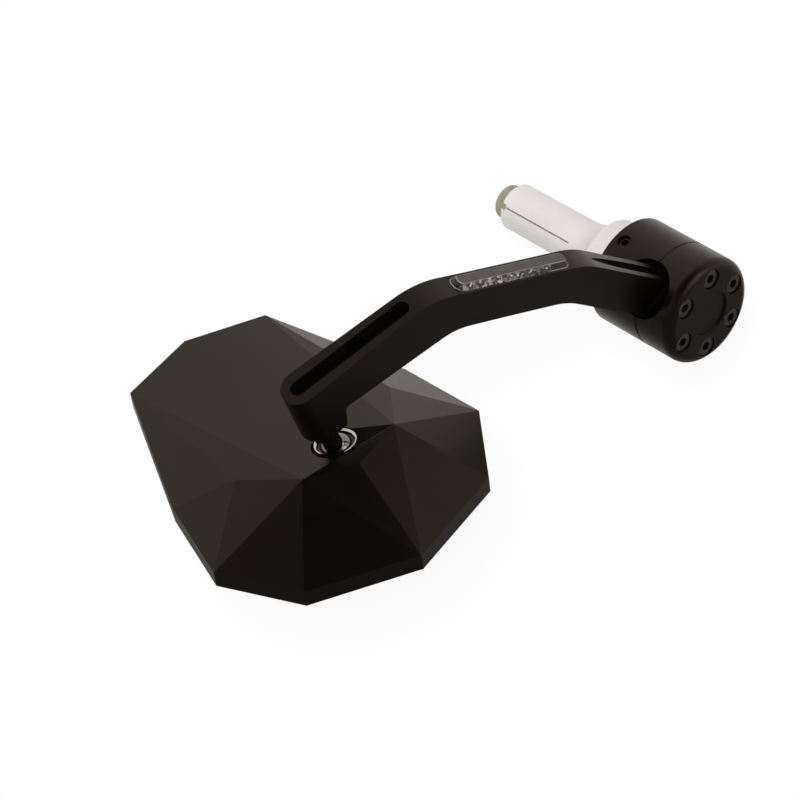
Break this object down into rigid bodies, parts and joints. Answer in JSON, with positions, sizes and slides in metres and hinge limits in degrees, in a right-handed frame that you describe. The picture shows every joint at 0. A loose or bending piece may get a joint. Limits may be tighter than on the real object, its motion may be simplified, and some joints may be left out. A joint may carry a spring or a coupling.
{
  "type": "bar end mirror",
  "caption": "Bar end mirror with an expanding spigot, a ball-jointed bent arm with a signal light strip and a faceted mirror head on a ball stud.",
  "frame": {"origin": "on the bar axis, at the root of the slotted spigot, where its slots end and the flare begins", "axes": "+X outboard along the bar axis, towards the front face of the clamp; +Z along the way the arm leaves the clamp; +Y across both, on the side of the light"},
  "size_m": [0.111, 0.1232, 0.139],
  "materials": {
    "bare_aluminium": "machined bright",
    "zinc_grey": "plain grey",
    "steel": "plain",
    "black_anodised": "satin black anodised",
    "black_steel": "black oxide",
    "liner_plastic": "natural",
    "smoked_lens": "clear, lightly smoked",
    "reflector_plastic": "bright",
    "board_green": "circuit board",
    "chip_body": "light chip",
    "chrome_plate": "polished",
    "pad_plastic": "foam sheet",
    "mirror_face": "silvered",
    "seal_rubber": "black"
  },
  "bodies": {
    "bar_spigot": {"expander_sleeve": "bare_aluminium"},
    "cone_nut": {"expander_cone": "zinc_grey"},
    "bolt": {"expander_bolt": "steel"},
    "clamp_head": {"rear_clamp_half": "black_anodised", "front_clamp_half": "black_anodised", "clamp_screws": "black_steel", "window_screw": "black_steel", "grub_screw": "black_steel", "bolt_washer": "steel"},
    "arm_liner": {"ball_liner_rear": "liner_plastic", "ball_liner_front": "liner_plastic"},
    "arm": {"mirror_arm": "black_anodised", "led_lens": "smoked_lens", "led_reflector": "reflector_plastic", "led_board": "board_green", "led_chips": "chip_body"},
    "stud": {"ball_stud": "chrome_plate"},
    "ball_socket_liner": {"socket_liner": "liner_plastic"},
    "mirror_head": {"mirror_shell": "black_anodised", "socket_collar": "chrome_plate", "socket_cup": "steel", "spring_washer": "steel", "socket_plate": "steel", "plate_screws": "steel", "backing_pad": "pad_plastic", "mirror_glass": "mirror_face", "glass_seal": "seal_rubber"}
  },
  "joints": [
    {"name": "head_turn", "type": "hinge", "parent": "bar_spigot", "child": "clamp_head", "pos_m": [0, 0, 0], "axis": [1, 0, 0], "continuous": true},
    {"name": "bolt_turn", "type": "hinge", "parent": "bar_spigot", "child": "bolt", "pos_m": [0, 0, 0], "axis": [1, 0, 0], "range_deg": [0, 1080]},
    {"name": "cone_slide", "type": "slide", "parent": "bar_spigot", "child": "cone_nut", "axis": [-1, 0, 0], "range_m": [0, 0.003]},
    {"name": "arm_lean", "type": "hinge", "parent": "clamp_head", "child": "arm_liner", "pos_m": [0.0366, 0, 0], "axis": [0, 1, 0], "range_deg": [-3.5, 3.5]},
    {"name": "arm_twist", "type": "hinge", "parent": "arm_liner", "child": "arm", "pos_m": [0.0366, 0, 0], "axis": [0, 0, 1], "range_deg": [-90, 90]},
    {"name": "mirror_spin", "type": "hinge", "parent": "arm", "child": "stud", "pos_m": [0.02001, -0.06416, 0.09094], "axis": [0.1308, 0.5059, 0.8526], "range_deg": [-60, 90]},
    {"name": "mirror_tilt", "type": "hinge", "parent": "stud", "child": "ball_socket_liner", "pos_m": [0.02001, -0.06416, 0.09094], "axis": [-0.7806, -0.4777, 0.4032], "range_deg": [-25, 4]},
    {"name": "mirror_rock", "type": "hinge", "parent": "ball_socket_liner", "child": "mirror_head", "pos_m": [0.02001, -0.06416, 0.09094], "axis": [0.6095, -0.4387, 0.6603], "range_deg": [-10, 10]}
  ],
  "couplings": [
    {"joint": "cone_slide", "follows": "bolt_turn", "m_per_rad": 0.00015915}
  ]
}
